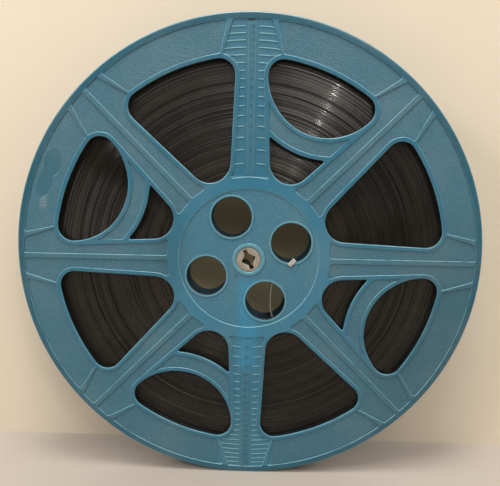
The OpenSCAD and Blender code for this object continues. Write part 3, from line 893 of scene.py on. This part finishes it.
def film_strip(name, line, material, nodes):
    """A strip of film that stands on edge along a line, with perforations by one edge."""
    pitch, hole_length, hole_width, margin = sizes().perforation_pitch, 1.27 * MM, 1.83 * MM, 0.89 * MM
    total = sum((b - a).length for a, b in zip(line, line[1:]))
    cells = max(1, int(total / pitch))
    distances = []
    for i in range(cells):
        distances += [i * pitch, i * pitch + hole_length, i * pitch + (pitch + hole_length) / 2]
    distances.append(total)
    low = -FILM_HALF + margin
    rows = (-FILM_HALF, low, low + hole_width, 0.0, FILM_HALF)
    across, up = len(distances) - 1, len(rows) - 1
    bm = bmesh.new()
    bmesh.ops.create_grid(bm, x_segments=across, y_segments=up, size=0.5)
    # Each pitch has three columns of faces, and its hole is the second face of the first column
    doomed = []
    for face in bm.faces:
        middle = face.calc_center_median()
        column, row = int((middle.x + 0.5) * across), int((middle.y + 0.5) * up)
        if column % 3 == 0 and row == 1 and column < 3 * cells:
            doomed.append(face)
    spots = along_line(line, distances)
    for vert in bm.verts:
        spot = spots[round((vert.co.x + 0.5) * across)]
        vert.co = (spot.x, rows[round((vert.co.y + 0.5) * up)], spot.y)
    bmesh.ops.delete(bm, geom=doomed, context="FACES")
    bmesh.ops.recalc_face_normals(bm, faces=bm.faces)
    thicken(finish_piece(bm, name, material, nodes, sharp_angle=50.0))


class REEL_OT_turns(bpy.types.Operator):
    """Add the loose outer turns of film with their perforations"""

    bl_idname = "reel.turns"
    bl_label = "Loose turns"
    bl_options = {"REGISTER", "UNDO"}

    def execute(self, context):
        thickness = sizes().film_thickness
        turns, steps, slack = 3, 120, 0.45 * MM
        # The free end lies at 150 degrees, and over the last 24 degrees the film lifts off
        end_at, free_angle, lift = 150, 24.0, 1.6 * MM
        start_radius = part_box("outer_film_length")[1].x + CLEARANCE + thickness
        line = []
        for i in range(turns * steps + 1):
            turn = 360.0 * i / steps
            free = max(0.0, (turn - 360.0 * turns + free_angle) / free_angle)
            radius = start_radius + (thickness + slack) * turn / 360 + lift * free * free
            angle = math.radians(end_at + turn - 360 * turns)
            line.append(Vector((radius * math.cos(angle), radius * math.sin(angle))))
        material = material_of("film side", strip_material, colours().film_side, 0.03)
        film_strip("loose_film_turns", line, material, ("outer_film_turns",))
        return {"FINISHED"}


class REEL_OT_tail(bpy.types.Operator):
    """Add the inner end of the film, which comes through the drum's lowest slot"""

    bl_idname = "reel.tail"
    bl_label = "Film tail"
    bl_options = {"REGISTER", "UNDO"}

    def execute(self, context):
        size = sizes()
        slot_half, drum_wall = 1.5 * MM, 2.6 * MM
        # From the slot's mouth a narrow arc leads to tail_x and turn_z, and a wider one up to top_z
        tail_x, turn_z, top_z = 17.2 * MM, -33 * MM, -14 * MM
        low_r, high_r, lead_in = 46 * MM, 95 * MM, 2.0
        slot_turn = Matrix.Rotation(size.hub_turn - math.pi / 2, 2)
        side = -slot_half + size.film_thickness + CLEARANCE
        radii = (size.drum_radius - CLEARANCE, size.drum_radius - drum_wall)
        out, mouth = (slot_turn @ Vector((radius, side)) for radius in radii)
        at_mouth = 180 + math.degrees(math.asin((turn_z - mouth.y) / low_r))
        at_top = 180 - math.degrees(math.asin((top_z - turn_z) / high_r))
        line = [out, mouth]
        line += arc_points((tail_x + low_r, turn_z), low_r, at_mouth - lead_in, 180, count=12)
        line += arc_points((tail_x + high_r, turn_z), high_r, 180, at_top, count=8)[1:]
        material = material_of("amber film", strip_material, colours().tail, 0.2)
        film_strip("film_end", line, material, ("film_tail",))
        return {"FINISHED"}


class REEL_OT_scrap(bpy.types.Operator):
    """Add the scrap of white leader on the lip of the first finger hole"""

    bl_idname = "reel.scrap"
    bl_label = "Scrap of leader"
    bl_options = {"REGISTER", "UNDO"}

    def execute(self, context):
        low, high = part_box("leader_scrap")
        centre = (low + high) / 2
        scrap_length, scrap_width, tear, turn = 6.5 * MM, 3.2 * MM, 0.25 * MM, math.radians(48)
        bm = bmesh.new()
        bmesh.ops.create_grid(bm, x_segments=10, y_segments=5, size=0.5)
        for vert in bm.verts:
            x, y, _ = vert.co
            torn = tear * math.sin(9 * y) if x > 0.45 else 0.0
            vert.co = (x * scrap_length + torn, y * scrap_width, 0.0)
        upright = Matrix.Rotation(math.pi / 2, 4, "X") @ Matrix.Rotation(turn, 4, "Z")
        bmesh.ops.transform(bm, matrix=Matrix.Translation(centre) @ upright, verts=bm.verts)
        material = material_of("white leader", strip_material, colours().leader, 0.3)
        thicken(finish_piece(bm, "scrap_of_leader", material, ("leader_scrap",)))
        return {"FINISHED"}


def number_mesh(text, place):
    """The mesh of a raised number, put in its place."""
    size_for_height = 1.4
    curve = bpy.data.curves.new("number", "FONT")
    curve.body, curve.size = text, sizes().digit_height * size_for_height
    curve.align_x, curve.align_y = "CENTER", "CENTER"
    curve.extrude, curve.resolution_u = sizes().digit_raise / 2, 3
    holder = bpy.data.objects.new("number", curve)
    mesh = bpy.data.meshes.new_from_object(holder)
    mesh.transform(place)
    bpy.data.objects.remove(holder)
    bpy.data.curves.remove(curve)
    return mesh


def scale_numbers(name, spoke_angle, step, counts, to_side):
    """The numbers of one scale, read from the hub towards the rim."""
    size = sizes()
    bm = bmesh.new()
    for count, text in counts:
        radius = math.sqrt(size.drum_radius ** 2 + count * step * size.film_thickness / math.pi)
        depth = -size.scale_level - size.digit_raise / 2
        spot = Vector((radius * math.cos(spoke_angle), depth, radius * math.sin(spoke_angle)))
        stand = Matrix.Rotation(math.pi / 2, 4, "X") @ Matrix.Rotation(spoke_angle - math.pi / 2, 4, "Z")
        mesh = number_mesh(text, to_side @ Matrix.Translation(spot) @ stand)
        bm.from_mesh(mesh)
        bpy.data.meshes.remove(mesh)
    bmesh.ops.remove_doubles(bm, verts=bm.verts, dist=SAME_SPOT)
    finish_piece(bm, name, plastic(), smooth=False)


class REEL_OT_numbers(bpy.types.Operator):
    """Add plain numbers to the two scales of each flange"""

    bl_idname = "reel.numbers"
    bl_label = "Scale numbers"
    bl_options = {"REGISTER", "UNDO"}

    def execute(self, context):
        turn = sizes().hub_turn
        over = Matrix.Rotation(math.pi, 4, Vector((math.cos(turn), 0, math.sin(turn))))
        # The film between two marks, in metres: 100 feet above the hub and 25 metres below it
        foot_step, metre_step = 30.48, 25
        feet = [(n, str(n)) for n in range(1, 17)]
        metres = [(n, str(metre_step * n)) for n in range(1, 21)]
        for side, matrix in (("front", Matrix.Identity(4)), ("back", over)):
            scale_numbers(f"{side}_feet_numbers", math.pi / 2, foot_step, feet, matrix)
            scale_numbers(f"{side}_metre_numbers", -math.pi / 2, metre_step, metres, matrix)
        return {"FINISHED"}


def stage_material(name, colour, backdrop):
    """A plain matt ground. The backdrop has painted shade behind the hub, and lets a view from behind it
    through.
    """
    material, net = new_material(name)
    vector = net.coordinates()
    soft = net.ramp(net.noise(vector, scale=3.0, detail=3.0), 0.3, 0.7)
    base = net.mix(soft, colour, [0.95 * c for c in colour])
    if backdrop:
        axes = net.parts(vector)
        # Painted shade on the backdrop behind the hub, brown and darker higher up
        near = net.under(net.radius(axes), 65 * MM, 10 * MM)
        upward = net.ramp(axes["Z"], -45 * MM, 25 * MM)
        base = net.mix(near, base, net.mix(upward, colours().wall_below, colours().wall_above))
        behind = net.add("ShaderNodeNewGeometry").outputs["Backfacing"]
        solid = net.tree.nodes["Principled BSDF"].outputs[0]
        clear = net.add("ShaderNodeBsdfTransparent").outputs[0]
        both = net.add("ShaderNodeMixShader")
        for value, socket in zip((behind, solid, clear), both.inputs):
            net.put(value, socket)
        net.put(both.outputs[0], net.tree.nodes["Material Output"].inputs["Surface"])
    return finished(material, net, Base_Color=base, Roughness=0.9)


def stage_plane(name, size, matrix, material):
    """A flat sheet of the stage."""
    bm = bmesh.new()
    bmesh.ops.create_grid(bm, x_segments=1, y_segments=1, size=size / 2, matrix=matrix)
    plane = new_object(bm, name, material)
    return plane


def soft_light(name, place, size, watts, colour):
    """A square area light that looks at the middle of the reel."""
    data = bpy.data.lights.new(name, "AREA")
    data.shape, data.size, data.energy, data.color = "SQUARE", size, watts, colour
    light = bpy.data.objects.new(name, data)
    light.location = place
    light.rotation_euler = (-light.location).to_track_quat("-Z", "Y").to_euler()
    bpy.context.scene.collection.objects.link(light)


def pale_surroundings(scene):
    """A world that is pale where the camera looks past the backdrop, and faint as a light."""
    world = bpy.data.worlds.new("studio")
    world.use_nodes = True
    scene.world = world
    net = Net(world.node_tree)
    background = net.tree.nodes["Background"].inputs
    net.put((0.86, 0.82, 0.76), background["Color"])
    seen = net.add("ShaderNodeLightPath").outputs["Is Camera Ray"]
    net.put(net.ramp(seen, 0.0, 1.0, 0.05, 0.75), background["Strength"])
    net.lay_out()


def take_view(scene):
    """The camera where the photograph was taken from."""
    data = bpy.data.cameras.new("camera")
    data.lens, data.sensor_width, data.shift_y = 41.097, 36.0, 0.074
    data.clip_start, data.clip_end = 0.01, 20.0
    camera = bpy.data.objects.new("camera", data)
    camera.location = (8.15 * MM, -436.13 * MM, 70.73 * MM)
    camera.rotation_euler = [math.radians(a) for a in (78.496, -1.054, 1.121)]
    scene.collection.objects.link(camera)
    scene.camera = camera


class REEL_OT_stage(bpy.types.Operator):
    """Add the floor, the backdrop, the lights and the camera"""

    bl_idname = "reel.stage"
    bl_label = "Stage"
    bl_options = {"REGISTER", "UNDO"}

    def execute(self, context):
        colour, scene = colours(), context.scene
        side, wall_gap, wall_centre = 6.0, 34 * MM, 1.2
        ground = stage_material("floor", colour.ground, backdrop=False)
        stage_plane("floor", side, Matrix.Translation((0, 0, CAD_LOW.z)), ground)
        behind = Matrix.Translation((0, CAD_HIGH.y + wall_gap, wall_centre))
        upright = behind @ Matrix.Rotation(math.pi / 2, 4, "X")
        paper = stage_material("backdrop", colour.wall, backdrop=True)
        wall = stage_plane("backdrop", side, upright, paper)
        wall.visible_shadow = False

        # Name, place, side and watts of each lamp
        warm = (1.0, 0.95, 0.88)
        for lamp in (
                ("overhead", (-0.05, -0.48, 1.46), 0.65, 10.6), ("top", (-0.03, -0.25, 1.35), 0.4, 8.0),
                ("high", (-0.1, -1.0, 1.2), 1.6, 11.0), ("left", (-1.12, -0.9, 0.8), 0.3, 7.0),
                ("low", (-1.2, -1.1, 0.1), 0.5, 1.5), ("lamp", (0.475, -1.3, 0.79), 0.02, 1.15),
                ("glow", (0.48, -1.25, 0.85), 0.6, 4.3), ("right", (1.05, -1.05, 0.55), 1.0, 1.8)):
            soft_light(*lamp, warm)
        soft_light("rear", (0.45, 1.5, 1.1), 1.2, 14.0, (1.0, 0.97, 0.93))
        pale_surroundings(scene)
        scene.view_settings.view_transform = "Standard"
        take_view(scene)
        return {"FINISHED"}


class REEL_PT_panel(bpy.types.Panel):
    """Lists the pieces of the film reel"""

    bl_idname = "REEL_PT_panel"
    bl_label = "Film reel"
    bl_space_type = "VIEW_3D"
    bl_region_type = "UI"
    bl_category = "Reel"

    def draw(self, context):
        for operator in OPERATORS:
            self.layout.operator(operator.bl_idname)
        for title, group in (("Sizes", context.scene.reel_sizes), ("Colours", context.scene.reel_colours)):
            box = self.layout.box()
            box.label(text=title)
            for name in group.__annotations__:
                box.prop(group, name)


OPERATORS = (
    REEL_OT_flanges, REEL_OT_plates, REEL_OT_film, REEL_OT_turns, REEL_OT_tail, REEL_OT_scrap,
    REEL_OT_numbers, REEL_OT_stage,
)
CLASSES = (ReelSizes, ReelColours, *OPERATORS, REEL_PT_panel)


def register():
    for cls in CLASSES:
        bpy.utils.register_class(cls)
    bpy.types.Scene.reel_sizes = PointerProperty(type=ReelSizes)
    bpy.types.Scene.reel_colours = PointerProperty(type=ReelColours)


def unregister():
    del bpy.types.Scene.reel_colours
    del bpy.types.Scene.reel_sizes
    for cls in reversed(CLASSES):
        bpy.utils.unregister_class(cls)


def main():
    register()
    bpy.ops.reel.flanges()
    bpy.ops.reel.plates()
    bpy.ops.reel.film()
    bpy.ops.reel.turns()
    bpy.ops.reel.tail()
    bpy.ops.reel.scrap()
    bpy.ops.reel.numbers()
    bpy.ops.reel.stage()
    bpy.context.view_layer.update()


if __name__ == "__main__":
    main()
